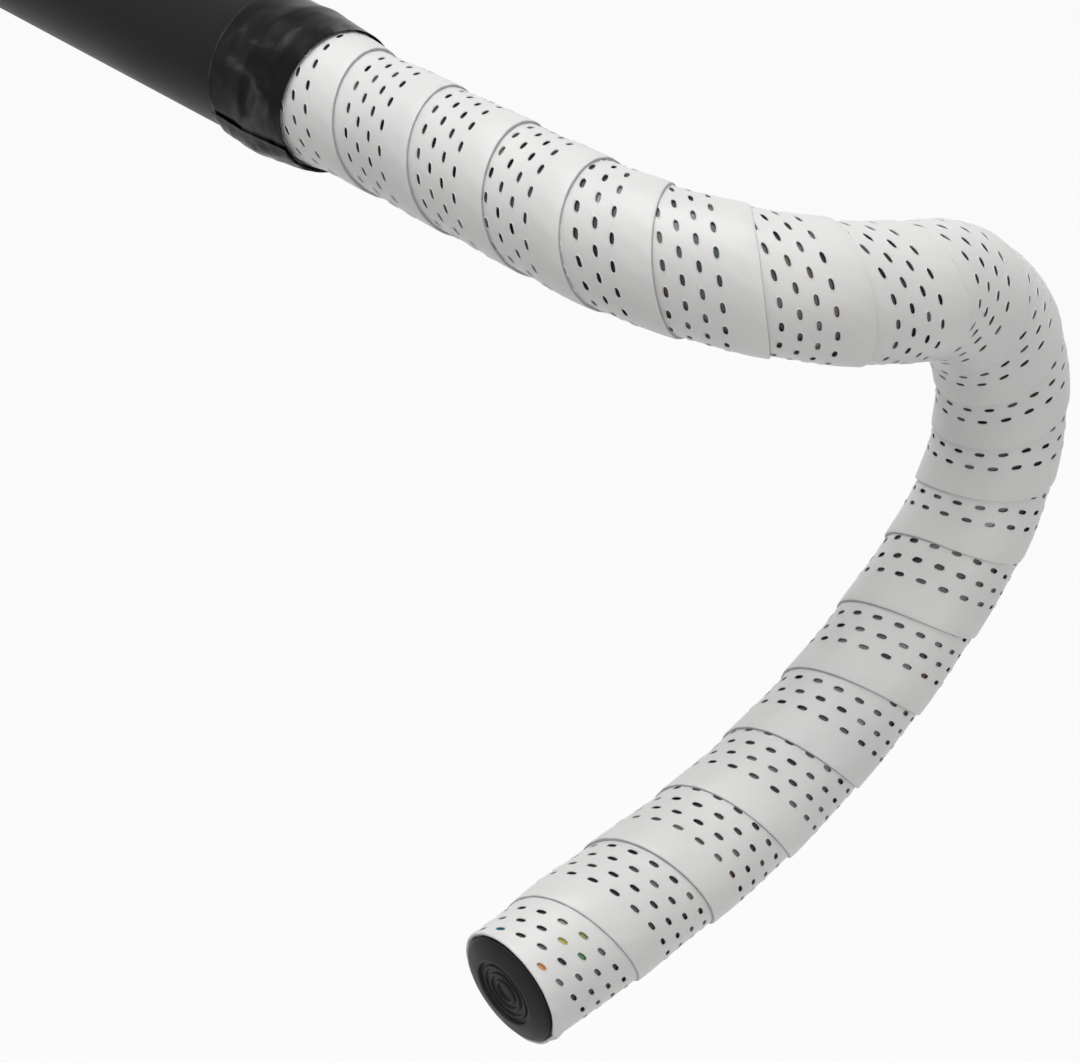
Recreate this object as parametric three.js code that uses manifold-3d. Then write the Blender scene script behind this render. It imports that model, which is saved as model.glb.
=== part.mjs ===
// One taped side of a drop handlebar: the bar, its wound tape, the tape's finishing strip
// and the plug in the bar's end. Millimetres. X points outboard, Y forward, Z up, and the
// origin lies on the bar's axis at its middle, where the stem clamps it.

import * as THREE from 'three';
import { mergeVertices } from 'three/addons/utils/BufferGeometryUtils.js';
import Module from 'manifold-3d';

const wasm = await Module();
wasm.setup();

const { degToRad, lerp, smoothstep } = THREE.MathUtils;

// Handlebar
const hookFromMiddle = 220;
const innerStub = 33;
const clampDiameter = 31.8;
const gripDiameter = 23.8;
const tubeWall = 2;
const endWall = 3;
const clampSeatEnd = 78;
const taperLength = 34;
const topsBendRadius = 45;
const rampDescent = degToRad(7.8);
const rampLength = 2;
const hookRadius = 43;
const hookTurn = degToRad(119.4);
const heelRadius = 132.5;
const heelTurn = degToRad(39.6);
const dropLength = 43.4;
const tubeEdgeBevel = 0.6;

// Wound tape
const tapeLay = 1.45;
const turnStep = 0.55;
const edgeRounding = 0.7;
const edgeWander = 1;
const edgeWanderAngle = degToRad(100);
const tapeStart = 88;
const firstLine = 115.7;
const topsPitch = 23.2;
const cornerPitch = 15.3;
const hookPitch = 20.2;
const underHookPitch = 16;
const heelPitch = 19.7;
const dropPitch = 21.3;
const mouthTaperLength = 22;
const mouthThinning = 0.5;
const mouthRollLength = 3;
const mouthLip = 0.6;
const tuckDepth = 9;

// Finishing strip
const stripOverBar = 10.5;
const stripOverTape = 12.4;
const stripThickness = 0.4;
const stripSeamStep = 0.5;
const stripSeamLift = 1.2;
const stripSeamAngle = degToRad(137);

// End plug
const plugDiameter = 23.6;
const plugRim = 1;
const plugDome = 1.7;
const plugDish = 7.4;
const plugDishDepth = 0.7;
const plugRings = [2.4, 4.1, 5.8];
const plugShankDiameter = 16.6;
const plugShankLength = 19;
const plugShankWall = 1.6;
const plugBarb = 0.4;
const plugBarbs = 3;
const plugSlot = 1.6;

// Fits
const clearance = 0.3;

// Fineness of the faces
const tubeSides = 24;
const bendStep = degToRad(12);
const taperSteps = 4;
const rowsPerTurn = 24;
const roundSides = 28;

// The bar's centreline: straight and bent stretches, each bend given by its axis.
const topsLength = hookFromMiddle - topsBendRadius;
const topsAxis = new THREE.Vector3(0, Math.sin(rampDescent), Math.cos(rampDescent));
const dropAxis = new THREE.Vector3(-1, 0, 0);
const stretches = [
  { turn: 0, length: topsLength },
  { turn: Math.PI / 2, radius: topsBendRadius, axis: topsAxis },
  { turn: 0, length: rampLength },
  { turn: hookTurn, radius: hookRadius, axis: dropAxis },
  { turn: heelTurn, radius: heelRadius, axis: dropAxis },
  { turn: 0, length: dropLength },
];

let barEnd = 0;
const pose = { point: new THREE.Vector3(), turned: new THREE.Quaternion() };
for (const stretch of stretches) {
  if (stretch.turn) stretch.length = stretch.turn * stretch.radius;
  stretch.start = barEnd;
  stretch.point = pose.point.clone();
  stretch.turned = pose.turned.clone();
  barEnd += stretch.length;
  Object.assign(pose, poseIn(stretch, stretch.length));
}
const bendStart = stretches[1].start;
const hookStart = stretches[3].start;
const heelStart = stretches[4].start;
const dropStart = stretches[5].start;

function poseIn(stretch, distance) {
  const turned = stretch.turned.clone();
  const ahead = new THREE.Vector3(1, 0, 0).applyQuaternion(turned);
  if (!stretch.turn) {
    return { point: stretch.point.clone().addScaledVector(ahead, distance), turned };
  }
  const bend = new THREE.Quaternion().setFromAxisAngle(stretch.axis, distance / stretch.radius);
  const inward = stretch.axis.clone().cross(ahead).multiplyScalar(stretch.radius);
  const point = stretch.point.clone().add(inward).sub(inward.clone().applyQuaternion(bend));
  return { point, turned: turned.premultiply(bend) };
}

function along(distance) {
  const stretch = stretches.findLast((one) => one.start <= distance) ?? stretches[0];
  const { point, turned } = poseIn(stretch, distance - stretch.start);
  return {
    point,
    ahead: new THREE.Vector3(1, 0, 0).applyQuaternion(turned),
    up: new THREE.Vector3(0, 0, 1).applyQuaternion(turned),
    side: new THREE.Vector3(0, -1, 0).applyQuaternion(turned),
  };
}

function onBar(distance, angle, radius) {
  const { point, up, side } = along(distance);
  return point.addScaledVector(up, Math.cos(angle) * radius)
    .addScaledVector(side, Math.sin(angle) * radius);
}

function barRadius(distance) {
  const share = smoothstep(distance, clampSeatEnd, clampSeatEnd + taperLength);
  return lerp(clampDiameter, gripDiameter, share) / 2;
}

// Where rings are needed between two places on the bar: close together on bends and the
// taper, only at the ends of what is straight and even.
function places(from, to) {
  const marks = [from, to];
  for (const { start, turn, length } of stretches) {
    const steps = Math.ceil(turn / bendStep) || 1;
    for (let i = 0; i <= steps; i++) marks.push(start + length * i / steps);
  }
  for (let i = 0; i <= taperSteps; i++) marks.push(clampSeatEnd + taperLength * i / taperSteps);
  marks.sort((a, b) => a - b);
  const kept = marks.filter((mark) => mark > from + 0.5 && mark < to - 0.5)
    .filter((mark, i, all) => i === 0 || mark - all[i - 1] > 0.5);
  return [from, ...kept, to];
}

// Rings of points to a closed surface, with a fan over the first ring and over the last.
function skin(rings, middles = [centre(rings[0]), centre(rings.at(-1))]) {
  const sides = rings[0].length;
  const positions = [];
  const faces = [];
  for (const ring of rings) for (const p of ring) positions.push(p.x, p.y, p.z);
  for (let r = 0; r + 1 < rings.length; r++) {
    for (let i = 0; i < sides; i++) {
      const a = r * sides + i;
      const b = r * sides + (i + 1) % sides;
      faces.push(a, b, a + sides, b, b + sides, a + sides);
    }
  }
  const last = (rings.length - 1) * sides;
  const first = positions.length / 3;
  for (const middle of middles) positions.push(middle.x, middle.y, middle.z);
  for (let i = 0; i < sides; i++) {
    const next = (i + 1) % sides;
    faces.push(first, next, i, first + 1, last + i, last + next);
  }
  return indexed(positions, faces);
}

function centre(ring) {
  return ring.reduce((sum, p) => sum.add(p), new THREE.Vector3()).divideScalar(ring.length);
}

function indexed(positions, faces) {
  const geometry = new THREE.BufferGeometry();
  geometry.setAttribute('position', new THREE.Float32BufferAttribute(positions, 3));
  geometry.setIndex(faces);
  return geometry;
}

function ring(distance, radius, sides = tubeSides) {
  return Array.from({ length: sides }, (_, i) => onBar(distance, 2 * Math.PI * i / sides, radius));
}

// A solid rod along the bar, from its [place, radius] pairs.
function rod(profile) {
  return skin(profile.map(([distance, radius]) => ring(distance, radius)),
    [along(profile[0][0]).point, along(profile.at(-1)[0]).point]);
}

function solid(geometry) {
  const plain = geometry.clone();
  plain.deleteAttribute('normal');
  plain.deleteAttribute('uv');
  const merged = mergeVertices(plain, 1e-4);
  return new wasm.Manifold(new wasm.Mesh({
    numProp: 3,
    vertProperties: merged.attributes.position.array,
    triVerts: new Uint32Array(merged.index.array),
  }));
}

function faceted(body) {
  const { vertProperties, triVerts, numProp } = body.getMesh();
  const positions = [];
  for (let i = 0; i < vertProperties.length; i += numProp) {
    positions.push(vertProperties[i], vertProperties[i + 1], vertProperties[i + 2]);
  }
  return indexed(positions, Array.from(triVerts));
}

// Handlebar: a tube that tapers from the clamp seat to the grip size, walled across where
// the other half is left off.
const boreRadius = (distance) => barRadius(distance) - tubeWall;
const outerPlaces = places(-innerStub + tubeEdgeBevel, barEnd - tubeEdgeBevel);
const borePlaces = places(-innerStub + endWall, barEnd).reverse();
const handlebarGeometry = skin([
  ring(-innerStub, barRadius(-innerStub) - tubeEdgeBevel),
  ...outerPlaces.map((place) => ring(place, barRadius(place))),
  ring(barEnd, barRadius(barEnd) - tubeEdgeBevel),
  ...borePlaces.map((place) => ring(place, boreRadius(place))),
]);

// Wound tape. The turns are laid from the bar's end to its middle, so each edge lies on the
// turn beside it and faces the bar's end. The lead eases from zone to zone along the bar.
const pitchZones = [
  [0, topsPitch], [bendStart - 47, topsPitch], [bendStart - 33, topsPitch - 1.1],
  [bendStart - 7, topsPitch - 1.1], [bendStart + 5, cornerPitch],
  [hookStart - 12, cornerPitch + 2.2], [hookStart - 2, hookPitch], [hookStart + 18, hookPitch],
  [hookStart + 34, underHookPitch], [heelStart - 4, underHookPitch],
  [heelStart + 12, heelPitch], [dropStart - 34, heelPitch], [dropStart - 26, dropPitch],
];

function pitchAt(distance) {
  const next = pitchZones.findIndex(([place]) => place > distance);
  if (next < 1) return pitchZones.at(next < 0 ? -1 : 0)[1];
  const [from, pitch] = pitchZones[next - 1];
  const [to, nextPitch] = pitchZones[next];
  return lerp(pitch, nextPitch, (distance - from) / (to - from));
}

// Lines of the tape's edge by row, a row being one part of a turn; row 0 is at angle 0.
function edgeLines() {
  const anchor = rowsPerTurn / 4;
  const lines = new Map([[anchor, firstLine]]);
  let row = anchor;
  for (let at = firstLine; at < barEnd + 2 * dropPitch; row++) {
    at += pitchAt(at) / rowsPerTurn;
    lines.set(row + 1, at);
  }
  const lastRow = row;
  row = anchor;
  for (let at = firstLine; at > tapeStart - 2 * topsPitch; row--) {
    at -= pitchAt(at) / rowsPerTurn;
    lines.set(row - 1, at);
  }
  for (const [count, at] of lines) {
    const angle = 2 * Math.PI * count / rowsPerTurn;
    lines.set(count, at + edgeWander * Math.sin(angle - edgeWanderAngle));
  }
  return { lines, firstRow: row, lastRow };
}

// The strip squeezes the tape where it holds it down, and the plug's hold stretches it thin.
const stripStart = tapeStart - stripOverBar;
const stripEnd = tapeStart + stripOverTape;
const squeeze = (distance) => lerp(0.5, 1, smoothstep(distance, tapeStart, stripEnd + 4))
  * lerp(1, mouthThinning, smoothstep(distance, barEnd - mouthTaperLength, barEnd));
const tapeRadius = (distance, rise) => barRadius(distance)
  + (tapeLay + turnStep * rise) * squeeze(distance);

function woundRod() {
  const { lines, firstRow, lastRow } = edgeLines();
  const turnRows = lastRow - rowsPerTurn - firstRow;
  const positions = [];
  const columns = 4;
  for (let i = 0; i <= turnRows + rowsPerTurn; i++) {
    const row = firstRow + i;
    const angle = 2 * Math.PI * row / rowsPerTurn;
    const foot = lines.get(row);
    const shoulder = (lines.get(row + rowsPerTurn) ?? foot + dropPitch) - edgeRounding;
    const across = [
      [foot, 0], [lerp(foot, shoulder, 0.55), 0.6],
      [shoulder, 1], [shoulder + 0.75 * edgeRounding, 0.55],
    ];
    for (const [place, rise] of across) {
      const p = onBar(place, angle, tapeRadius(place, rise));
      positions.push(p.x, p.y, p.z);
    }
  }
  const at = (i, column) => column < columns ? i * columns + column : (i + rowsPerTurn) * columns;
  const faces = [];
  for (let i = 0; i < turnRows; i++) {
    for (let c = 0; c < columns; c++) {
      const [a, b, d, e] = [at(i, c), at(i + 1, c), at(i, c + 1), at(i + 1, c + 1)];
      faces.push(a, b, d, b, e, d);
    }
  }
  const loop = (from) => [
    ...Array.from({ length: rowsPerTurn }, (_, i) => at(from + i, 0)),
    ...Array.from({ length: columns }, (_, c) => at(from, columns - c)),
  ];
  const ends = [[loop(0), lines.get(firstRow), 1], [loop(turnRows), lines.get(firstRow + turnRows), -1]];
  for (const [rim, place, way] of ends) {
    const middle = along(place + way * -3).point;
    const hub = positions.length / 3;
    positions.push(middle.x, middle.y, middle.z);
    rim.forEach((one, i) => {
      const other = rim[(i + 1) % rim.length];
      faces.push(hub, way > 0 ? other : one, way > 0 ? one : other);
    });
  }
  return keepUsed(positions, faces);
}

function keepUsed(positions, faces) {
  const kept = new Map();
  const packed = [];
  const renumbered = faces.map((old) => {
    if (!kept.has(old)) {
      kept.set(old, kept.size);
      packed.push(...positions.slice(3 * old, 3 * old + 3));
    }
    return kept.get(old);
  });
  return indexed(packed, renumbered);
}

const rollStart = barEnd - mouthRollLength;
const rollEnd = barEnd + mouthLip;
const rollRadius = tapeRadius(barEnd, 1);
const tuckRadius = boreRadius(barEnd) - clearance;
const throatRadius = plugShankDiameter / 2 + plugBarb + clearance;
const cutReach = 3 * Math.max(topsPitch, dropPitch);
const cutSpan = 1.5 * clampDiameter;

const tapeBore = places(tapeStart - cutReach / 2, barEnd + clearance)
  .map((place) => [place, barRadius(place) + clearance]);
const mouthRoll = [
  [rollStart, rollRadius - 0.3], [barEnd - 0.4 * mouthRollLength, rollRadius - 0.05],
  [barEnd, rollRadius - 0.2], [barEnd + 0.6 * mouthLip, rollRadius - 0.7],
  [rollEnd, rollRadius - 1.4],
];
const tapeBody = solid(woundRod())
  .subtract(solid(rod([[tapeStart - cutReach, cutSpan], [tapeStart, cutSpan]])))
  .subtract(solid(rod([[barEnd - 0.7 * mouthRollLength, cutSpan], [barEnd + cutReach, cutSpan]])))
  .add(solid(rod(mouthRoll)))
  .subtract(solid(rod(tapeBore)))
  .add(solid(rod([[barEnd - tuckDepth, tuckRadius], [rollEnd - 0.4 * mouthLip, tuckRadius]])))
  .subtract(solid(rod([[barEnd - 2 * tuckDepth, throatRadius], [rollEnd + 5, throatRadius]])));

// Finishing strip: a band of thin film round the tape's start, thicker with each turn, with
// its loose end raised along the seam.
function stripGeometry() {
  const under = (place) => {
    const overTape = smoothstep(place, tapeStart - 6, tapeStart - clearance);
    return lerp(barRadius(place), tapeRadius(Math.max(place, tapeStart), 1), overTape) + clearance;
  };
  const over = (place, share) => {
    const lift = stripSeamLift * Math.exp(-(((1 - share) / 0.07) ** 2));
    const middle = (place - stripStart) / (stripEnd - stripStart);
    return under(place) + stripThickness + stripSeamStep * share + lift * (1 - 0.6 * middle);
  };
  const shares = Array.from({ length: roundSides }, (_, i) => 1 - i / (roundSides - 1));
  const angle = (i) => stripSeamAngle + 2 * Math.PI * i / roundSides;
  const stops = [0, 0.2, 0.4, 0.55, 0.75, 1].map((t) => lerp(stripStart, stripEnd, t));
  const outer = stops.map((place) => shares.map((share, i) => onBar(place, angle(i), over(place, share))));
  const inner = stops.map((place) => shares.map((_, i) => onBar(place, angle(i), under(place))));
  const loop = [...outer, ...inner.reverse()];
  const positions = loop.flatMap((one) => one.flatMap((p) => [p.x, p.y, p.z]));
  const faces = [];
  for (let r = 0; r < loop.length; r++) {
    for (let i = 0; i < roundSides; i++) {
      const [a, b] = [r * roundSides + i, r * roundSides + (i + 1) % roundSides];
      const [c, d] = [a, b].map((one) => (one + roundSides) % (loop.length * roundSides));
      faces.push(a, b, c, b, d, c);
    }
  }
  return indexed(positions, faces);
}

// End plug, turned about its own axis with its cap up, then slotted and set into the bar.
const plugSeat = mouthLip + clearance;
const plugRadius = plugDiameter / 2;
const shankRadius = plugShankDiameter / 2;

function plugProfile() {
  const domeAt = (radius) => plugSeat + plugRim + plugDome * (1 - (radius / plugRadius) ** 2.6);
  const dishFloor = domeAt(plugDish) - plugDishDepth;
  const outline = [[0, dishFloor]];
  for (const middle of plugRings) {
    outline.push([middle - 0.4, dishFloor], [middle, dishFloor + 0.4], [middle + 0.4, dishFloor]);
  }
  outline.push([plugDish - 0.6, dishFloor], [plugDish, domeAt(plugDish)]);
  for (let i = 1; i <= 4; i++) {
    const radius = lerp(plugDish, plugRadius - 0.5, i / 4);
    outline.push([radius, domeAt(radius)]);
  }
  outline.push([plugRadius, plugSeat + plugRim - 0.4], [plugRadius, plugSeat + 0.3]);
  outline.push([plugRadius - 0.3, plugSeat], [shankRadius, plugSeat]);
  const barbPitch = (plugShankLength - 6) / plugBarbs;
  for (let i = 0; i < plugBarbs; i++) {
    const top = -3 - i * barbPitch;
    outline.push([shankRadius, top], [shankRadius + plugBarb, top - 0.3]);
    outline.push([shankRadius, top - 0.7 * barbPitch]);
  }
  outline.push([shankRadius - 0.6, -plugShankLength]);
  outline.push([shankRadius - plugShankWall, -plugShankLength]);
  outline.push([shankRadius - plugShankWall, plugSeat], [0, plugSeat]);
  return outline.map(([radius, height]) => new THREE.Vector2(radius, height)).reverse();
}

function plugGeometry() {
  const turned = new THREE.LatheGeometry(plugProfile(), roundSides);
  const slotLength = plugShankLength - 2;
  let body = solid(turned);
  for (const turn of [0, Math.PI / 2]) {
    const slot = new THREE.BoxGeometry(plugSlot, slotLength, plugDiameter);
    slot.rotateY(turn + Math.PI / 4).translate(0, -2.6 - slotLength / 2, 0);
    body = body.subtract(solid(slot));
  }
  return faceted(body);
}

function piece(name, geometry, color, roughness, metalness) {
  const shaded = geometry.index ? geometry.toNonIndexed() : geometry;
  shaded.computeVertexNormals();
  const material = new THREE.MeshStandardMaterial({ name, color, roughness, metalness });
  const mesh = new THREE.Mesh(shaded, material);
  mesh.name = name;
  return mesh;
}

const tapedBar = new THREE.Group();
tapedBar.name = 'taped_handlebar_half';
tapedBar.add(piece('handlebar', handlebarGeometry, 0x191a1d, 0.42, 0.4));
tapedBar.add(piece('bar_tape', faceted(tapeBody), 0xd9d7d6, 0.5, 0));
tapedBar.add(piece('finishing_strip', stripGeometry(), 0x0e0e10, 0.22, 0));

const plug = piece('end_plug', plugGeometry(), 0x26272a, 0.45, 0);
const mouth = along(barEnd);
plug.position.copy(mouth.point);
plug.quaternion.setFromUnitVectors(new THREE.Vector3(0, 1, 0), mouth.ahead);
tapedBar.add(plug);

export default tapedBar;
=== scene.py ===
import math
import random

import bmesh
import bpy
from mathutils import Matrix, Quaternion, Vector, noise


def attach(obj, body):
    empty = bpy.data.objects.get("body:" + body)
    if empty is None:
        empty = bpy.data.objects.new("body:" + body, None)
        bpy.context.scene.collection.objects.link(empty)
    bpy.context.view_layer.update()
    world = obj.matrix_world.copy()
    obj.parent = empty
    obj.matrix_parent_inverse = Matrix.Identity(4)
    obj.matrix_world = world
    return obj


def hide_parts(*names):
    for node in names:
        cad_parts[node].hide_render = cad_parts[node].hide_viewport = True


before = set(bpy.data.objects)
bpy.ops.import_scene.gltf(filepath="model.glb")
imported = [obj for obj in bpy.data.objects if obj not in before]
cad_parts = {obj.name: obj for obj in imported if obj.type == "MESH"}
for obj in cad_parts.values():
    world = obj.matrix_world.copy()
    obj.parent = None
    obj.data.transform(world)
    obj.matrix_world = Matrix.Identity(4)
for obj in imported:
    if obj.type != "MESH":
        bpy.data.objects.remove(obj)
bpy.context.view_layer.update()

# The bar's route, in millimetres and degrees, measured along its centreline from the
# middle of the whole handlebar. Angles round the bar start at the top and turn backwards.
route = {
    "hookFromMiddle": 220, "innerStub": 33, "topsBend": 45, "rampDescent": 7.8,
    "rampLength": 2, "hookBend": 43, "hookTurn": 119.4, "heelBend": 132.5,
    "heelTurn": 39.6, "dropLength": 43.4,
    "clampSize": 31.8, "gripSize": 23.8, "clampSeatEnd": 78, "taperLength": 34,
}


def smooth(low, high, value):
    share = min(max((value - low) / (high - low), 0), 1)
    return share * share * (3 - 2 * share)


def mix(low, high, share):
    return low + (high - low) * share


def layRoute():
    descent = math.radians(route["rampDescent"])
    topsAxis = Vector((0, math.sin(descent), math.cos(descent)))
    dropAxis = Vector((-1, 0, 0))
    plan = [
        (route["hookFromMiddle"] - route["topsBend"], 0, None),
        (math.pi / 2, route["topsBend"], topsAxis),
        (route["rampLength"], 0, None),
        (math.radians(route["hookTurn"]), route["hookBend"], dropAxis),
        (math.radians(route["heelTurn"]), route["heelBend"], dropAxis),
        (route["dropLength"], 0, None),
    ]
    stretches = []
    start = 0
    point = Vector()
    turned = Quaternion()
    for amount, radius, axis in plan:
        length = amount * radius if radius else amount
        stretch = (start, radius, axis, point, turned)
        stretches.append(stretch)
        point, turned = poseIn(stretch, length)
        start += length
    return stretches, start


def poseIn(stretch, distance):
    start, radius, axis, point, turned = stretch
    ahead = turned @ Vector((1, 0, 0))
    if not radius:
        return point + ahead * distance, turned
    bend = Quaternion(axis, distance / radius)
    inward = axis.cross(ahead) * radius
    return point + inward - bend @ inward, bend @ turned


stretches, barEnd = layRoute()


def stretchAt(distance):
    return [one for one in stretches if one[0] <= max(distance, 0)][-1]


def poseAt(distance):
    stretch = stretchAt(distance)
    return poseIn(stretch, distance - stretch[0])


def onBar(distance, angle, radius):
    point, turned = poseAt(distance)
    offset = Vector((0, -math.sin(angle) * radius, math.cos(angle) * radius))
    return (point + turned @ offset) * 0.001


def barRadius(distance):
    share = smooth(route["clampSeatEnd"], route["clampSeatEnd"] + route["taperLength"], distance)
    return mix(route["clampSize"], route["gripSize"], share) / 2


# How the centreline bends, in the bar's own up and side, for each millimetre along it
def listBends():
    rows = []
    for distance in range(int(barEnd) + 60):
        start, radius, axis, point, turned = stretchAt(distance)
        bend = Vector()
        if radius:
            bend = turned.inverted() @ axis.cross(turned @ Vector((1, 0, 0))) / radius
        rows.append(bend)
    eased = []
    for i in range(len(rows)):
        near = rows[max(i - 8, 0):i + 9]
        eased.append(sum(near, Vector()) / len(near))
    return eased


bends = listBends()


# Small helpers for meshes and materials
def keep(mesh, name, slot, *replaced, sharp=40):
    for face in mesh.faces:
        face.smooth = True
    for edge in mesh.edges:
        edge.smooth = edge.calc_face_angle(0) < math.radians(sharp)
    data = bpy.data.meshes.new(name)
    mesh.to_mesh(data)
    mesh.free()
    piece = bpy.data.objects.new(name, data)
    bpy.context.scene.collection.objects.link(piece)
    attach(piece, "root")
    if replaced:
        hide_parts(*replaced)
    return piece


def sweepRings(mesh, profile, sides):
    # a closed tube along the bar from (place, radius) pairs, capped at both ends
    bmesh.ops.create_grid(mesh, x_segments=sides, y_segments=len(profile) - 1, size=0.5)
    for vert in mesh.verts:
        angle = (vert.co.x + 0.5) * 2 * math.pi
        place, radius = profile[round((vert.co.y + 0.5) * (len(profile) - 1))]
        vert.co = onBar(place, angle, radius)
    bmesh.ops.remove_doubles(mesh, verts=mesh.verts, dist=1e-6)
    bmesh.ops.holes_fill(mesh, edges=[edge for edge in mesh.edges if edge.is_boundary], sides=0)
    bmesh.ops.recalc_face_normals(mesh, faces=mesh.faces)


def newMaterial(name, **sockets):
    material = bpy.data.materials.new(name)
    material.use_nodes = True
    shader = material.node_tree.nodes["Principled BSDF"]
    for socket, value in sockets.items():
        shader.inputs[socket.replace("_", " ")].default_value = value
    return material, material.node_tree, shader


# a Mix node's sockets for colour have no names of their own
mixFirst, mixSecond, mixResult = 6, 7, 2


def addNode(tree, kind, **settings):
    node = tree.nodes.new(kind)
    for name, value in settings.items():
        if hasattr(node, name):
            setattr(node, name, value)
        else:
            node.inputs[name.replace("_", " ")].default_value = value
    return node


def addRamp(tree, source, stops):
    ramp = addNode(tree, "ShaderNodeValToRGB")
    while len(ramp.color_ramp.elements) < len(stops):
        ramp.color_ramp.elements.new(0.5)
    for element, (place, color) in zip(ramp.color_ramp.elements, stops):
        element.position = place
        element.color = (*color, 1) if len(color) == 3 else color
    tree.links.new(source, ramp.inputs["Fac"])
    return ramp.outputs["Color"]


def addBump(tree, shader, height, strength, distance, below=None):
    bump = addNode(tree, "ShaderNodeBump", Strength=strength, Distance=distance)
    tree.links.new(height, bump.inputs["Height"])
    if below:
        tree.links.new(below, bump.inputs["Normal"])
    tree.links.new(bump.outputs["Normal"], shader.inputs["Normal"])
    return bump.outputs["Normal"]


def addPolish(tree, shader, source, reading, roughness):
    polish = addNode(tree, "ShaderNodeMapRange", From_Min=reading[0], From_Max=reading[1],
                     To_Min=roughness[0], To_Max=roughness[1])
    tree.links.new(source, polish.inputs["Value"])
    tree.links.new(polish.outputs["Result"], shader.inputs["Roughness"])


# Camera

camera = {
    "place": (0.49795, -0.33891, 0.19398),
    "turn": (60.683, -5.646, 47.041),
    "lens": 88.08,
}


def addCamera():
    data = bpy.data.cameras.new("camera")
    data.lens = camera["lens"]
    data.sensor_width = 36
    data.sensor_fit = "HORIZONTAL"
    data.clip_start = 0.01
    view = bpy.data.objects.new("camera", data)
    view.location = camera["place"]
    view.rotation_euler = [math.radians(one) for one in camera["turn"]]
    bpy.context.scene.collection.objects.link(view)
    bpy.context.scene.camera = view
    print("camera set")


addCamera()


# Wound tape: one real strip, laid turn over turn. Its turns are wound from the bar's end to
# the middle, so every edge lies on the turn beside it and faces the bar's end.

tape = {
    "width": 28, "thickness": 0.85, "lay": 1.45, "step": 0.55, "start": 88,
    "firstLine": 115.7, "wander": 1, "wanderAngle": 100, "wobble": 0.5,
    "topsPitch": 23.2, "cornerPitch": 15.3, "hookPitch": 20.2,
    "underHookPitch": 16, "heelPitch": 19.7, "dropPitch": 21.3, "lastPitch": 22.8,
    "squeezed": 0.5, "squeezeEnd": 104.4, "mouthTaper": 22, "mouthThinning": 0.5,
    "sink": 0.6, "waviness": 0.09, "lowest": 0.32,
    "bendReach": 13.6, "bendLimits": (0.86, 1.4),
    "tuckDepth": 7, "lip": 1.5, "pleats": 13, "pleatRise": 0.04, "pleatWander": 0.12,
    "cornerFold": 58, "foldRise": 0.6, "foldWidth": 5,
}
perforation = {
    "margin": 8.2, "rowGap": 3.63, "rows": 4, "gap": 4.9, "shift": 1.64, "band": 1.7,
    "cell": 2.8, "length": 2.46, "width": 1.32, "oval": 1.4, "segments": 12,
    "rim": 0.11, "depth": 0.42,
}
# foil behind the perforations: grey by chance, a few with a faint painted glint, and six painted
# glints of its holographic shine, each by its place in from the bar's end, its angle and its colour
foil = {
    "seed": 7, "darkest": 0.018, "palest": 0.24, "faintGlintOdds": 0.15, "faintGlintShare": 0.09, "glintShare": 0.8,
    "nearPlace": 1.9, "nearAngle": 10, "wall": (0.03, 0.03, 0.035, 1),
    "paintedGlints": [
        (0.3, 180, (0.02, 0.3, 0.34)), (-1.5, 158, (0.62, 0.3, 0.2)),
        (2, 138, (0.9, 0.42, 0.14)), (8.5, 148, (0.6, 0.56, 0.12)),
        (12.6, 140, (0.42, 0.42, 0.16)), (9.6, 126, (0.1, 0.3, 0.12)),
    ],
}
stepsPerTurn = 96
stride = perforation["gap"] / 4  # the way round is listed in these steps
lean = perforation["shift"] / perforation["rowGap"]  # each row is shifted from the last


def pitchZones():
    bend, hook, heel, drop = (stretches[i][0] for i in (1, 3, 4, 5))
    tops, corner, under = tape["topsPitch"], tape["cornerPitch"], tape["underHookPitch"]
    return [
        (0, tops), (bend - 47, tops), (bend - 33, tops - 1.1), (bend - 7, tops - 1.1),
        (bend + 5, corner), (hook - 12, corner + 2.2), (hook - 2, tape["hookPitch"]),
        (hook + 18, tape["hookPitch"]), (hook + 34, under), (heel - 4, under),
        (heel + 12, tape["heelPitch"]), (drop - 34, tape["heelPitch"]),
        (drop - 26, tape["dropPitch"]), (barEnd - 10, tape["dropPitch"]),
        (barEnd - 8, tape["lastPitch"]), (barEnd + 200, tape["lastPitch"]),
    ]


# Places of the tape's edge along the bar, by step, with the step that lies at angle 0
def layLines():
    zones = pitchZones()

    def pitchAt(distance):
        for (low, pitch), (high, nextPitch) in zip(zones, zones[1:]):
            if distance < high:
                return mix(pitch, nextPitch, (max(distance, 0) - low) / (high - low))

    lines = [tape["firstLine"]]
    while lines[-1] < barEnd + 4 * tape["width"]:
        lines.append(lines[-1] + pitchAt(lines[-1]) / stepsPerTurn)
    before = 0
    while lines[0] > tape["start"] - 2 * tape["width"]:
        lines.insert(0, lines[0] - pitchAt(lines[0]) / stepsPerTurn)
        before += 1
    return lines, before - stepsPerTurn // 4


lines, zeroStep = layLines()


def edgeAt(angle):
    step = angle / (2 * math.pi) * stepsPerTurn + zeroStep
    low = min(max(int(step), 0), len(lines) - 2)
    place = mix(lines[low], lines[low + 1], step - low)
    wobble = noise.noise(Vector((angle * 0.45, 3.1, 0))) * tape["wobble"]
    return place + tape["wander"] * math.sin(angle - math.radians(tape["wanderAngle"])) + wobble


# The strip holds the tape down at its start, and the plug's pull stretches it thin at its end
def squeeze(distance):
    held = mix(tape["squeezed"], 1, smooth(tape["start"], tape["squeezeEnd"], distance))
    drawn = smooth(barEnd - tape["mouthTaper"], barEnd, distance)
    return held * mix(1, tape["mouthThinning"], drawn)


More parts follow.
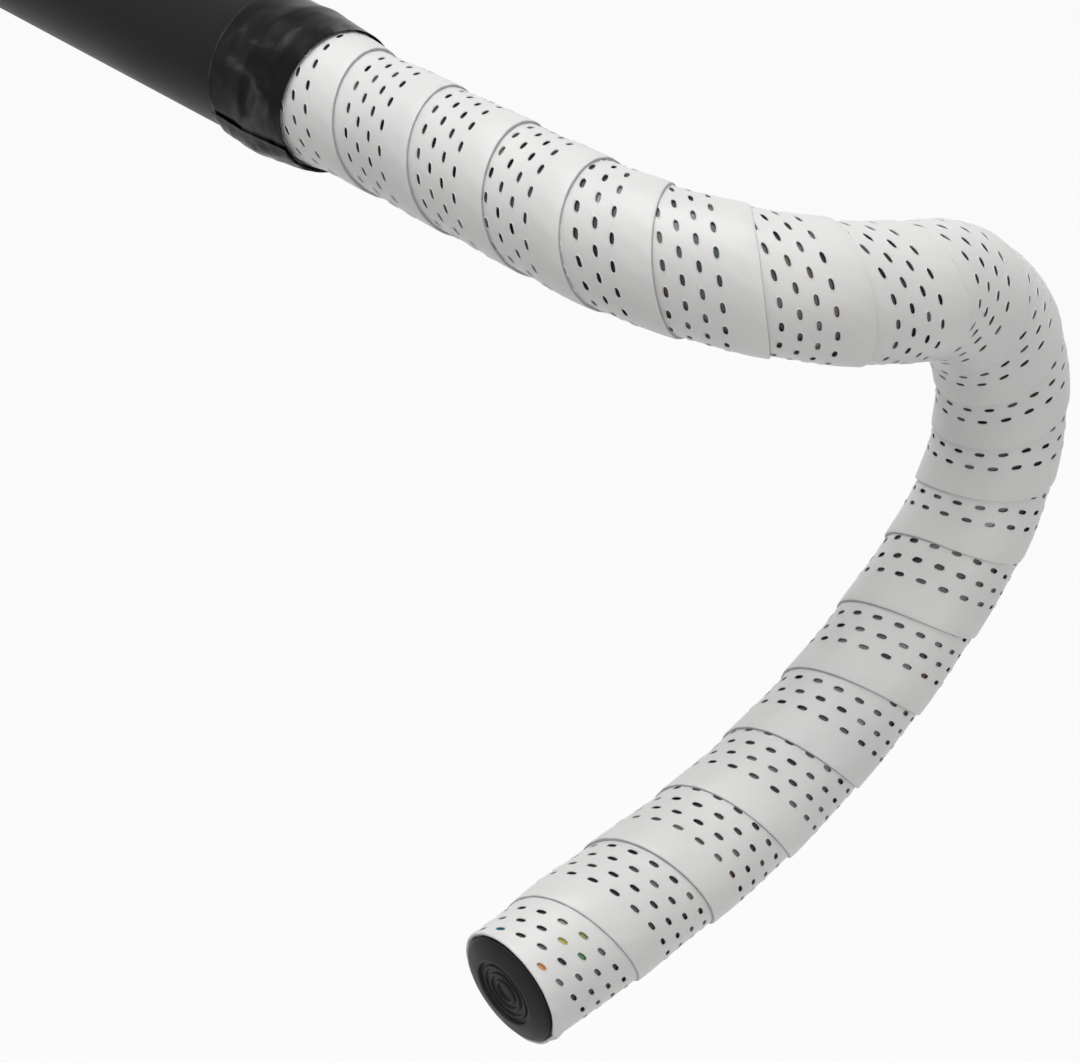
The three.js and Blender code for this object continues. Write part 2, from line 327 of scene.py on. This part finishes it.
# Angles round the bar, one for each stride along the strip
def listAngles():
    angles = [0]
    while edgeAt(angles[0]) > tape["start"] - 2:
        angles[0] -= 0.1
    angles[0] -= 1
    while edgeAt(angles[-1]) < barEnd + tape["width"] + tape["tuckDepth"] + 16:
        radius = barRadius(edgeAt(angles[-1]) - tape["width"] / 2) + tape["lay"] + 0.4
        angles.append(angles[-1] + stride / radius)
    return angles


angles = listAngles()


def angleAt(spot):
    step = (spot.x - lean * spot.y) / stride
    low = min(max(int(step), 0), len(angles) - 2)
    return mix(angles[low], angles[low + 1], step - low)


# Place along the bar of a point this far in from the tape's edge. The tape lies closer on
# the inside of a bend and wider on its outside.
def across(angle, inward):
    edge = edgeAt(angle)
    if inward < 0.01:
        return edge
    bend = bends[min(max(int(edge - inward), 0), len(bends) - 1)]
    toward = -bend.y * math.sin(angle) + bend.z * math.cos(angle)
    least, most = tape["bendLimits"]
    return edge - inward / min(max(1 - tape["bendReach"] * toward, least), most)


# Points across the tape from its edge: distance in from the edge, and height
def stripSection():
    half = perforation["band"] / 2
    under = -tape["thickness"]
    section = [(0, under), (0, -0.3), (0.12, -0.08), (0.5, 0), (2.6, 0), (5, 0)]
    for row in range(perforation["rows"]):
        middle = perforation["margin"] + row * perforation["rowGap"]
        section += [(middle - half, 0), (middle + half, 0)]
    section += [(22.5, 0), (25.5, 0), (27.7, 0), (tape["width"], -0.2), (tape["width"], under)]
    return section + [(21, under), (14, under), (7, under), (0, under)]


# One perforation with its pressed rim. The rows are laid askew, so it leans back by as much.
def slotTile():
    tile = bmesh.new()
    bmesh.ops.create_grid(tile, x_segments=1, y_segments=1, size=0.5)
    bmesh.ops.scale(tile, vec=(perforation["cell"], perforation["band"], 1), verts=tile.verts)
    bmesh.ops.delete(tile, geom=tile.faces[:], context="FACES_ONLY")
    outline = tile.edges[:]
    ring = bmesh.ops.create_circle(tile, cap_ends=True, segments=perforation["segments"],
                                   radius=perforation["width"] / 2)["verts"]
    bmesh.ops.scale(tile, vec=(perforation["oval"], 1, 1), verts=ring)
    for side in (-1, 1):
        halfRing = [vert for vert in ring if side * vert.co.x > 1e-4]
        shift = side * (perforation["length"] - perforation["oval"] * perforation["width"]) / 2
        bmesh.ops.translate(tile, vec=(shift, 0, 0), verts=halfRing)
    mouth = tile.faces[:]
    bmesh.ops.bridge_loops(tile, edges=outline + mouth[0].edges[:])
    rim = perforation["rim"]
    for thickness, depth in ((0.07, rim), (0.1, -1.3 * rim), (0.06, -perforation["depth"])):
        bmesh.ops.inset_individual(tile, faces=mouth, thickness=thickness, depth=depth)
    corners = {vert for edge in outline for vert in edge.verts}
    for vert in tile.verts:
        if vert not in corners:
            vert.co.x += lean * vert.co.y
    for face in tile.faces:
        if face.calc_center_median().z < -0.1:
            face.material_index = 1
    data = bpy.data.meshes.new("slotTile")
    tile.to_mesh(data)
    tile.free()
    return data


def layStrip(pitches):
    # the flat strip: x runs along it and y inward from its edge, in millimetres
    section = stripSection()
    wide = len(section) - 1
    strip = bmesh.new()
    bmesh.ops.create_grid(strip, x_segments=3 * pitches, y_segments=wide, size=0.5)
    for vert in strip.verts:
        column = round((vert.co.x + 0.5) * 3 * pitches)
        inward, height = section[round((vert.co.y + 0.5) * wide)]
        part = (0, perforation["cell"], (perforation["cell"] + perforation["gap"]) / 2)[column % 3]
        vert.co = (perforation["gap"] * (column // 3) + part, inward, height)
    bmesh.ops.remove_doubles(strip, verts=strip.verts, dist=1e-3)
    return strip


# The number of a perforation along its row, and its row
def slotNumber(spot):
    row = (spot.y - perforation["margin"]) / perforation["rowGap"]
    return int(spot.x / perforation["gap"]), round(row)


def inSlotCell(spot):
    row = (spot.y - perforation["margin"]) / perforation["rowGap"]
    share = spot.x / perforation["gap"] % 1
    if spot.z < -0.01 or share * perforation["gap"] > perforation["cell"]:
        return False
    return abs(row - round(row)) <= 0.04 and -0.1 < row < perforation["rows"] - 0.9


# Perforations, only where the next turn leaves them open
def perforate(strip):
    replaced = []
    places = []
    for face in strip.faces:
        middle = face.calc_center_median()
        if not inSlotCell(middle):
            continue
        angle = angleAt(middle)
        place = across(angle, middle.y)
        nextTurn = edgeAt(angle - 2 * math.pi)
        if place > nextTurn - 1.5 and tape["start"] < place < barEnd + 0.3:
            replaced.append(face)
            places.append(middle.copy())
    bmesh.ops.delete(strip, geom=replaced, context="FACES_ONLY")
    tile = slotTile()
    tiles = bmesh.new()
    for middle in places:
        known = len(tiles.verts)
        tiles.from_mesh(tile)
        tiles.verts.ensure_lookup_table()
        bmesh.ops.translate(tiles, vec=middle, verts=tiles.verts[known:])
    tiles.to_mesh(tile)
    tiles.free()
    strip.from_mesh(tile)
    bmesh.ops.remove_doubles(strip, verts=strip.verts, dist=2e-3)
    print("tape perforated", len(places))


def foilColor(spot, draw):
    angle = angleAt(spot)
    place = across(angle, spot.y)
    dark = mix(foil["darkest"], foil["palest"], draw.random() ** 2)
    share = foil["faintGlintShare"] * (draw.random() < foil["faintGlintOdds"])
    tint = draw.choice(foil["paintedGlints"])[2]
    # painted glints: the holographic foil's shine is painted as fixed colours, faintly at random
    # slots and fully at these places
    for away, around, ownTint in foil["paintedGlints"]:
        apart = (math.degrees(angle) - around + 180) % 360 - 180
        if abs(barEnd - away - place) < foil["nearPlace"] and abs(apart) < foil["nearAngle"]:
            tint = ownTint
            share = foil["glintShare"]
    return (*[mix(dark, part, share) for part in tint], 1)


# Colour of each perforation, and the strip's own lengthwise and crosswise places
def paintStrip(strip):
    shine = strip.loops.layers.float_color.new("slotShine")
    grain = strip.loops.layers.uv.new("alongTape")
    draw = random.Random(foil["seed"])
    chosen = {}
    for face in strip.faces:
        color = foil["wall"]
        if face.material_index:
            spot = face.calc_center_median()
            number = slotNumber(spot)
            if number not in chosen:
                chosen[number] = foilColor(spot, draw)
            color = chosen[number]
        for loop in face.loops:
            loop[shine] = color
            loop[grain].uv = (loop.vert.co.x * 0.01, loop.vert.co.y * 0.01)


# From the flat strip to turns: way round, place along the bar, height over the bar
def windStrip(strip, reach):
    for vert in strip.verts:
        angle = angleAt(vert.co)
        place = across(angle, vert.co.y)
        edge = edgeAt(angle)
        nextTurn = edgeAt(angle - 2 * math.pi)
        share = (place - nextTurn) / (edge - nextTurn)
        rise = smooth(0.05, 0.95, share)
        sunk = tape["sink"] * smooth(0, 0.12, -share)
        height = (tape["lay"] + tape["step"] * rise) * squeeze(place) + vert.co.z - sunk
        height += tape["waviness"] * noise.noise(Vector((place * 0.09, angle * 1.1, 5)))
        vert.co = (angle * reach, place, max(height, tape["lowest"]))


# Cut the turns off square at the tape's start and where it ends inside the bar
def trimStrip(strip):
    for place, way in ((tape["start"], -1), (barEnd + tape["tuckDepth"], 1)):
        bmesh.ops.bisect_plane(strip, geom=strip.verts[:] + strip.edges[:] + strip.faces[:],
                               dist=1e-5, plane_co=(0, place, 0), plane_no=(0, way, 0),
                               clear_outer=True)
        rim = [edge for edge in strip.edges if edge.is_boundary
               and all(abs(vert.co.y - place) < 1e-3 for vert in edge.verts)]
        caps = bmesh.ops.holes_fill(strip, edges=rim, sides=0)["faces"]
        bmesh.ops.triangulate(strip, faces=caps, ngon_method="BEAUTY")


# How the tape turns in over the bar's end: distance along the tape past that end, how far
# ahead of it this lies, and how far in from the outside
lip = tape["lip"]
turnIn = [
    (0, 0, 0), (lip - 0.5, lip - 0.5, 0), (lip - 0.2, lip - 0.22, 0.05), (lip, lip - 0.08, 0.16),
    (lip + 0.2, lip, 0.36), (lip + 0.45, lip - 0.08, 0.58), (lip + 1.1, lip - 0.6, 0.75),
    (lip + 1.7, 0.4, 0.85), (lip + 4.4, 0.35, 3.5), (lip + 7, -2, 3.75),
]


# Rings of edges where the lip turns, so that it turns cleanly
def ringLip(strip):
    for past, _, _ in turnIn:
        near = [face for face in strip.faces if face.calc_center_median().y > barEnd - 6]
        verts = {vert for face in near for vert in face.verts}
        edges = {edge for face in near for edge in face.edges}
        bmesh.ops.bisect_plane(strip, geom=list(verts | edges) + near, dist=1e-5,
                               plane_co=(0, barEnd + past, 0), plane_no=(0, 1, 0))


def pleatAt(angle, place):
    around = Vector((math.cos(angle) * 1.7, math.sin(angle) * 1.7, 2))
    pleat = tape["pleatRise"] * math.sin(tape["pleats"] * angle)
    pleat += tape["pleatWander"] * noise.noise(around)
    fold = math.degrees(angle) % 360 - tape["cornerFold"]
    pleat += tape["foldRise"] * math.exp(-(fold / tape["foldWidth"]) ** 2)
    return pleat * smooth(barEnd - 3, barEnd + 1, place)


# Round the bar, out over the plug's rim in a lip, and back in behind it
def wrapStrip(strip, reach):
    mouthRadius = barRadius(barEnd) + (tape["lay"] + tape["step"]) * tape["mouthThinning"]
    for vert in strip.verts:
        angle = vert.co.x / reach
        place = vert.co.y
        height = vert.co.z
        pleat = pleatAt(angle, place)
        radius = barRadius(place) + height + pleat
        past = place - barEnd
        if past > 0:
            for (low, ahead, inward), (high, nextAhead, nextInward) in zip(turnIn, turnIn[1:]):
                if past <= high:
                    break
            share = min((past - low) / (high - low), 1)
            depth = min(mouthRadius - barRadius(barEnd) - height, 0.45)
            radius = mouthRadius + pleat - mix(inward, nextInward, share) - depth * 0.5
            place = barEnd + mix(ahead, nextAhead, share)
            place -= depth * 0.6 * smooth(lip - 0.4, lip + 1, past)
        vert.co = onBar(place, angle, radius)


def makeTape():
    reach = route["gripSize"] / 2
    strip = layStrip((len(angles) - 1) // 4)
    perforate(strip)
    paintStrip(strip)
    windStrip(strip, reach)
    trimStrip(strip)
    ringLip(strip)
    wrapStrip(strip, reach)
    bmesh.ops.dissolve_degenerate(strip, edges=strip.edges, dist=5e-6)
    bmesh.ops.recalc_face_normals(strip, faces=strip.faces)
    if strip.calc_volume(signed=True) < 0:
        bmesh.ops.reverse_faces(strip, faces=strip.faces)
    piece = keep(strip, "windingTape", "tape_white", "bar_tape", sharp=50)
    print("tape wound", len(piece.data.polygons))
    return piece


def tapeMaterial():
    material, tree, shader = newMaterial("whiteTapeLeather")
    shader.inputs["Coat Weight"].default_value = 0.08
    shader.inputs["Coat Roughness"].default_value = 0.35
    spot = addNode(tree, "ShaderNodeTexCoord").outputs["Object"]
    along = addNode(tree, "ShaderNodeUVMap", uv_map="alongTape").outputs["UV"]
    cloud = addNode(tree, "ShaderNodeTexNoise", Scale=38, Detail=3, Roughness=0.55)
    tree.links.new(spot, cloud.inputs["Vector"])
    tones = [(0.3, (0.69, 0.685, 0.68)), (0.7, (0.76, 0.76, 0.745))]
    tone = addRamp(tree, cloud.outputs["Fac"], tones)
    inward = addNode(tree, "ShaderNodeSeparateXYZ")
    tree.links.new(along, inward.inputs["Vector"])
    # painted shade: a thin grey band along the tape's cut edge stands for the shade where each turn
    # lies over the last
    cut = addNode(tree, "ShaderNodeMapRange", From_Min=0.0006, From_Max=0.0015)
    tree.links.new(inward.outputs["Y"], cut.inputs["Value"])
    edgeShade = addNode(tree, "ShaderNodeMix", data_type="RGBA")  # painted shade: the cut edge, where each turn lies on the next, is painted grey
    edgeShade.inputs[mixFirst].default_value = (0.36, 0.36, 0.36, 1)
    tree.links.new(cut.outputs["Result"], edgeShade.inputs["Factor"])
    tree.links.new(tone, edgeShade.inputs[mixSecond])
    tree.links.new(edgeShade.outputs[mixResult], shader.inputs["Base Color"])
    grain = addNode(tree, "ShaderNodeTexVoronoi", Scale=170, feature="SMOOTH_F1")
    tree.links.new(along, grain.inputs["Vector"])
    crease = addNode(tree, "ShaderNodeTexNoise", Scale=60, Detail=4, Roughness=0.6)
    tree.links.new(along, crease.inputs["Vector"])
    first = addBump(tree, shader, grain.outputs["Distance"], 0.1, 0.0002)
    addBump(tree, shader, crease.outputs["Fac"], 0.1, 0.0004, first)
    addPolish(tree, shader, crease.outputs["Fac"], (0.3, 0.7), (0.4, 0.52))
    return material


def slotMaterial():
    material, tree, shader = newMaterial("slotFoil", Roughness=0.3, Metallic=0.2)
    tint = addNode(tree, "ShaderNodeAttribute", attribute_name="slotShine")
    fleck = addNode(tree, "ShaderNodeTexNoise", Scale=900, Detail=2)
    tree.links.new(addNode(tree, "ShaderNodeTexCoord").outputs["Object"], fleck.inputs["Vector"])
    shade = addNode(tree, "ShaderNodeMix", data_type="RGBA", blend_type="MULTIPLY")
    shade.inputs["Factor"].default_value = 0.35
    tree.links.new(tint.outputs["Color"], shade.inputs[mixFirst])
    tree.links.new(fleck.outputs["Fac"], shade.inputs[mixSecond])
    tree.links.new(shade.outputs[mixResult], shader.inputs["Base Color"])
    return material


windingTape = makeTape()
windingTape.data.materials.append(tapeMaterial())
windingTape.data.materials.append(slotMaterial())


# Handlebar: a drawn tube, walled at its inner end

handlebar = {"wall": 2, "endWall": 3, "edgeRound": 0.6, "sides": 72, "ringGap": 3.2}


def makeHandlebar():
    mesh = bmesh.new()
    innerEnd = -route["innerStub"]
    rounding = handlebar["edgeRound"]
    profile = []
    for i in range(4):
        turn = math.pi / 2 * i / 4
        place = innerEnd + rounding * (1 - math.cos(turn))
        profile.append((place, barRadius(0) - rounding * (1 - math.sin(turn))))
    count = int((barEnd - innerEnd) / handlebar["ringGap"])
    for i in range(count + 1):
        place = mix(innerEnd + rounding, barEnd - rounding, i / count)
        profile.append((place, barRadius(place)))
    profile.append((barEnd, barRadius(barEnd) - rounding))
    for i in range(count + 1):
        place = mix(barEnd, innerEnd + handlebar["endWall"], i / count)
        profile.append((place, barRadius(place) - handlebar["wall"]))
    sweepRings(mesh, profile, handlebar["sides"])
    return keep(mesh, "blackBar", "bar_black", "handlebar")


def barMaterial():
    material, tree, shader = newMaterial("satinBlackBar")
    shader.inputs["Specular IOR Level"].default_value = 0.1
    spot = addNode(tree, "ShaderNodeTexCoord").outputs["Object"]
    blast = addNode(tree, "ShaderNodeTexNoise", Scale=2600, Detail=2)
    drift = addNode(tree, "ShaderNodeTexNoise", Scale=24, Detail=3)
    for one in (blast, drift):
        tree.links.new(spot, one.inputs["Vector"])
    tones = [(0.3, (0.004, 0.004, 0.005)), (0.7, (0.008, 0.008, 0.009))]
    tree.links.new(addRamp(tree, drift.outputs["Fac"], tones), shader.inputs["Base Color"])
    addPolish(tree, shader, drift.outputs["Fac"], (0.3, 0.7), (0.34, 0.46))
    addBump(tree, shader, blast.outputs["Fac"], 0.12, 0.00005)
    return material


blackBar = makeHandlebar()
blackBar.data.materials.append(barMaterial())
print("handlebar made")


# Finishing strip: glossy film wound over the tape's start. Its end stands off as a flap that
# runs along the underside.

film = {
    "start": 77.5, "end": 100.4, "seamAngle": 115, "seamLean": 6, "lap": 62, "thickness": 0.16,
    "clearance": 0.12, "edgeLift": 0.3, "flapRise": 0.75, "flapSweep": 46, "crumple": 0.25,
    "wave": 0.07, "edgeWander": 0.35, "columns": 220, "rings": 56,
    # where the painted highlight patches fall on the film, and the base colour stops that paint
    # them
    "paintedHighlightShift": (0, 0.02, 0.013),
    "paintedHighlights": [(0.4, (0.0015, 0.0015, 0.0015)), (0.53, (0.007, 0.007, 0.008)),
               (0.68, (0.07, 0.07, 0.075))],
    # paler tones of the painted highlight along the film's start edge
    "edgePaintedHighlights": [(0.4, (0.02, 0.02, 0.021)), (0.53, (0.05, 0.05, 0.053)),
                   (0.68, (0.09, 0.09, 0.095))],
}


def filmUnder(place):
    covered = smooth(film["start"], tape["start"] + 1, place)
    onTape = max(place, tape["start"])
    overTape = barRadius(onTape) + (tape["lay"] + tape["step"]) * squeeze(onTape)
    return mix(barRadius(place), overTape, covered) + film["clearance"]


def makeFilm():
    mesh = bmesh.new()
    bmesh.ops.create_grid(mesh, x_segments=film["columns"], y_segments=film["rings"], size=0.5)
    sweep = 360 + film["lap"]
    for face in mesh.faces:  # painted highlight: the film's start edge is painted paler where it catches the light
        face.material_index = int(face.calc_center_median().y < 1 / film["rings"] - 0.5)
    for vert in mesh.verts:
        share = vert.co.x + 0.5
        length = vert.co.y + 0.5
        turned = math.radians(film["seamAngle"] + film["seamLean"] * length + share * sweep)
        place = mix(film["start"], film["end"], length)
        spot = Vector((place * 0.16, turned * 2.2, 9))
        radius = filmUnder(place) + film["thickness"] * (1.2 + 1.6 * (1 - share))
        away = share * sweep / film["flapSweep"]
        loose = smooth(0, 0.35, away) * (1 - smooth(0.4, 1, away))
        radius += film["flapRise"] * loose * (4 * length * (1 - length)) ** 0.45
        crumple = film["crumple"] * loose * noise.noise(spot * 3)
        radius += film["edgeLift"] * (1 - smooth(0, 0.5, away)) + crumple
        fade = smooth(0, 0.04, length) * smooth(0, 0.04, 1 - length)
        radius += film["wave"] * fade * (noise.noise(spot) + noise.noise(spot * 2.1))
        wander = film["edgeWander"] * noise.noise(Vector((turned * 1.2, length * 2, 6)))
        place += wander * (1 if length > 0.5 else 0.4)
        vert.co = onBar(place, turned, radius)
    bmesh.ops.recalc_face_normals(mesh, faces=mesh.faces)
    middle = onBar(film["start"] + 10, 0, 0)
    outward = [face for face in mesh.faces
               if face.normal.dot(face.calc_center_median() - middle) > 0]
    if len(outward) < len(mesh.faces) / 2:
        bmesh.ops.reverse_faces(mesh, faces=mesh.faces)
    bmesh.ops.solidify(mesh, geom=mesh.faces[:], thickness=-film["thickness"] * 0.001)
    bmesh.ops.recalc_face_normals(mesh, faces=mesh.faces)
    return keep(mesh, "finishingFilm", "strip_black", "finishing_strip", sharp=55)


def filmMaterial(name, paintedHighlights):
    material, tree, shader = newMaterial(name)
    shader.inputs["Specular IOR Level"].default_value = 0.08
    spot = addNode(tree, "ShaderNodeTexCoord").outputs["Object"]
    placed = addNode(tree, "ShaderNodeMapping", Location=film["paintedHighlightShift"])
    tree.links.new(spot, placed.inputs["Vector"])
    fold = addNode(tree, "ShaderNodeTexNoise", Scale=95, Detail=3, Roughness=0.5, Distortion=0.6)
    tree.links.new(placed.outputs["Vector"], fold.inputs["Vector"])
    # painted highlight: soft paler patches in the base colour stand for the studio's reflections on
    # the black film; the same noise also sets its roughness and crumpled bump
    tree.links.new(addRamp(tree, fold.outputs["Fac"], paintedHighlights), shader.inputs["Base Color"])
    addPolish(tree, shader, fold.outputs["Fac"], (0.3, 0.75), (0.2, 0.36))
    addBump(tree, shader, fold.outputs["Fac"], 0.22, 0.0006)
    return material


finishingFilm = makeFilm()
finishingFilm.data.materials.append(filmMaterial("glossyBlackFilm", film["paintedHighlights"]))
finishingFilm.data.materials.append(filmMaterial("paintedHighlightFilmEdge", film["edgePaintedHighlights"]))
print("finishing strip made")


# End plug: a moulded cap with plain rings in its dish, on a barbed shank

plug = {
    "radius": 11.8, "seat": 0.9, "rim": 1, "dome": 1.7, "dish": 7.4, "dishDepth": 0.7,
    "rings": (2.4, 4.1, 5.8), "ringHeight": 0.4, "shank": 8.3, "shankLength": 19,
    "shankWall": 1.6, "barb": 0.4, "barbs": 3, "steps": 96,
}


def plugOutline():
    def domeAt(radius):
        return plug["seat"] + plug["rim"] + plug["dome"] * (1 - (radius / plug["radius"]) ** 2.6)

    floor = domeAt(plug["dish"]) - plug["dishDepth"]
    rise = plug["ringHeight"]
    outline = [(0, floor), (0.9, floor), (1.05, floor + 0.05), (1.2, floor)]
    for ring in plug["rings"]:
        outline += [
            (ring - 0.42, floor), (ring - 0.3, floor + 0.7 * rise), (ring - 0.12, floor + rise),
            (ring + 0.12, floor + rise), (ring + 0.3, floor + 0.7 * rise), (ring + 0.42, floor),
        ]
    outline += [
        (6.75, floor), (6.95, floor + 0.1), (7.15, domeAt(7.15) - 0.1),
        (plug["dish"], domeAt(plug["dish"])),
    ]
    outer = plug["radius"]
    for i in range(1, 9):
        radius = mix(plug["dish"], outer - 0.45, i / 8)
        outline.append((radius, domeAt(radius)))
    seat = plug["seat"]
    top = seat + plug["rim"]
    shank = plug["shank"]
    outline += [
        (outer - 0.2, top - 0.02), (outer - 0.05, top - 0.2), (outer, top - 0.5),
        (outer, seat + 0.3), (outer - 0.3, seat), (shank, seat),
    ]
    gap = (plug["shankLength"] - 6) / plug["barbs"]
    for i in range(plug["barbs"]):
        start = -3 - i * gap
        outline += [(shank, start), (shank + plug["barb"], start - 0.3), (shank, start - 0.7 * gap)]
    bore = shank - plug["shankWall"]
    outline += [
        (shank - 0.6, -plug["shankLength"]), (bore, -plug["shankLength"]),
        (bore, seat - 0.4), (0, seat - 0.4),
    ]
    return outline


def makePlug():
    mesh = bmesh.new()
    previous = None
    for radius, height in plugOutline():
        vert = mesh.verts.new((radius, 0, height))
        if previous:
            mesh.edges.new((previous, vert))
        previous = vert
    bmesh.ops.spin(mesh, geom=mesh.verts[:] + mesh.edges[:], cent=(0, 0, 0), axis=(0, 0, 1),
                   dvec=(0, 0, 0), angle=2 * math.pi, steps=plug["steps"], use_merge=True)
    bmesh.ops.remove_doubles(mesh, verts=mesh.verts, dist=1e-4)
    bmesh.ops.recalc_face_normals(mesh, faces=mesh.faces)
    point, turned = poseAt(barEnd)
    ahead = turned @ Vector((1, 0, 0))
    stand = Matrix.Translation(point) @ ahead.to_track_quat("Z", "Y").to_matrix().to_4x4()
    bmesh.ops.transform(mesh, matrix=Matrix.Scale(0.001, 4) @ stand, verts=mesh.verts)
    return keep(mesh, "barEndPlug", "plug_charcoal", "end_plug", sharp=35)


def plugMaterial():
    material, tree, shader = newMaterial("charcoalPlastic")
    shader.inputs["Specular IOR Level"].default_value = 0.12
    spot = addNode(tree, "ShaderNodeTexCoord").outputs["Object"]
    fine = addNode(tree, "ShaderNodeTexNoise", Scale=1800, Detail=3)
    wear = addNode(tree, "ShaderNodeTexNoise", Scale=150, Detail=4)
    for one in (fine, wear):
        tree.links.new(spot, one.inputs["Vector"])
    tones = [(0.3, (0.010, 0.0105, 0.010)), (0.72, (0.018, 0.0185, 0.017))]
    tree.links.new(addRamp(tree, wear.outputs["Fac"], tones), shader.inputs["Base Color"])
    addPolish(tree, shader, wear.outputs["Fac"], (0.3, 0.7), (0.36, 0.5))
    addBump(tree, shader, fine.outputs["Fac"], 0.2, 0.00006)
    return material


barEndPlug = makePlug()
barEndPlug.data.materials.append(plugMaterial())
print("end plug made")


# Stage and light

stage = {"floorHeight": -0.42, "floorSize": 14, "floorTone": 0.55, "whiteShare": 0.93}
lampAim = (0.15, 0.03, -0.05)
lamps = [
    {"name": "above", "place": (-0.1, -0.25, 1.5), "size": 1.6, "power": 20.8},
    {"name": "left", "place": (-0.9, -1.1, 0.7), "size": 1.6, "power": 2.6},
    {"name": "right", "place": (1.5, -0.3, 0.3), "size": 1.2, "power": 4.6},
]
worldLight = 0.32


# Camera, glossy and transmission rays see the white studio; all other light is plain
def whiteRays(tree):
    seen = addNode(tree, "ShaderNodeLightPath")
    glossy = addNode(tree, "ShaderNodeMath", operation="MAXIMUM")
    clear = addNode(tree, "ShaderNodeMath", operation="MAXIMUM")
    tree.links.new(seen.outputs["Is Camera Ray"], glossy.inputs[0])
    tree.links.new(seen.outputs["Is Glossy Ray"], glossy.inputs[1])
    tree.links.new(glossy.outputs["Value"], clear.inputs[0])
    tree.links.new(seen.outputs["Is Transmission Ray"], clear.inputs[1])
    return clear.outputs["Value"]


def makeFloor():
    mesh = bmesh.new()
    bmesh.ops.create_grid(mesh, x_segments=1, y_segments=1, size=stage["floorSize"] / 2)
    bmesh.ops.translate(mesh, vec=(0, 0, stage["floorHeight"]), verts=mesh.verts)
    data = bpy.data.meshes.new("floor")
    mesh.to_mesh(data)
    mesh.free()
    floor = bpy.data.objects.new("floor", data)
    bpy.context.scene.collection.objects.link(floor)
    tone = stage["floorTone"]
    color = (tone, tone, tone, 1)
    material, tree, shader = newMaterial("paleFloor", Roughness=0.8, Base_Color=color)
    white = addNode(tree, "ShaderNodeEmission", Strength=1)
    part = addNode(tree, "ShaderNodeMath", operation="MULTIPLY")
    part.inputs[1].default_value = stage["whiteShare"]
    blend = addNode(tree, "ShaderNodeMixShader")
    tree.links.new(whiteRays(tree), part.inputs[0])
    tree.links.new(part.outputs["Value"], blend.inputs["Fac"])
    tree.links.new(shader.outputs["BSDF"], blend.inputs[1])
    tree.links.new(white.outputs["Emission"], blend.inputs[2])
    tree.links.new(blend.outputs["Shader"], tree.nodes["Material Output"].inputs["Surface"])
    data.materials.append(material)


def makeWorld():
    world = bpy.data.worlds.new("studio")
    bpy.context.scene.world = world
    world.use_nodes = True
    tree = world.node_tree
    plain = tree.nodes["Background"]
    plain.inputs["Color"].default_value = (1, 1, 1, 1)
    plain.inputs["Strength"].default_value = worldLight
    white = addNode(tree, "ShaderNodeBackground", Strength=1)
    white.inputs["Color"].default_value = (1, 1, 1, 1)
    blend = addNode(tree, "ShaderNodeMixShader")
    tree.links.new(whiteRays(tree), blend.inputs["Fac"])
    tree.links.new(plain.outputs["Background"], blend.inputs[1])
    tree.links.new(white.outputs["Background"], blend.inputs[2])
    tree.links.new(blend.outputs["Shader"], tree.nodes["World Output"].inputs["Surface"])


def addLamps():
    for lamp in lamps:
        data = bpy.data.lights.new(lamp["name"], "AREA")
        data.shape = "DISK"
        data.size = lamp["size"]
        data.energy = lamp["power"]
        light = bpy.data.objects.new(lamp["name"], data)
        light.location = lamp["place"]
        toward = Vector(lampAim) - Vector(lamp["place"])
        light.rotation_euler = toward.to_track_quat("-Z", "Y").to_euler()
        bpy.context.scene.collection.objects.link(light)


makeFloor()
makeWorld()
addLamps()
bpy.context.scene.view_settings.view_transform = "Standard"
print("stage lit")
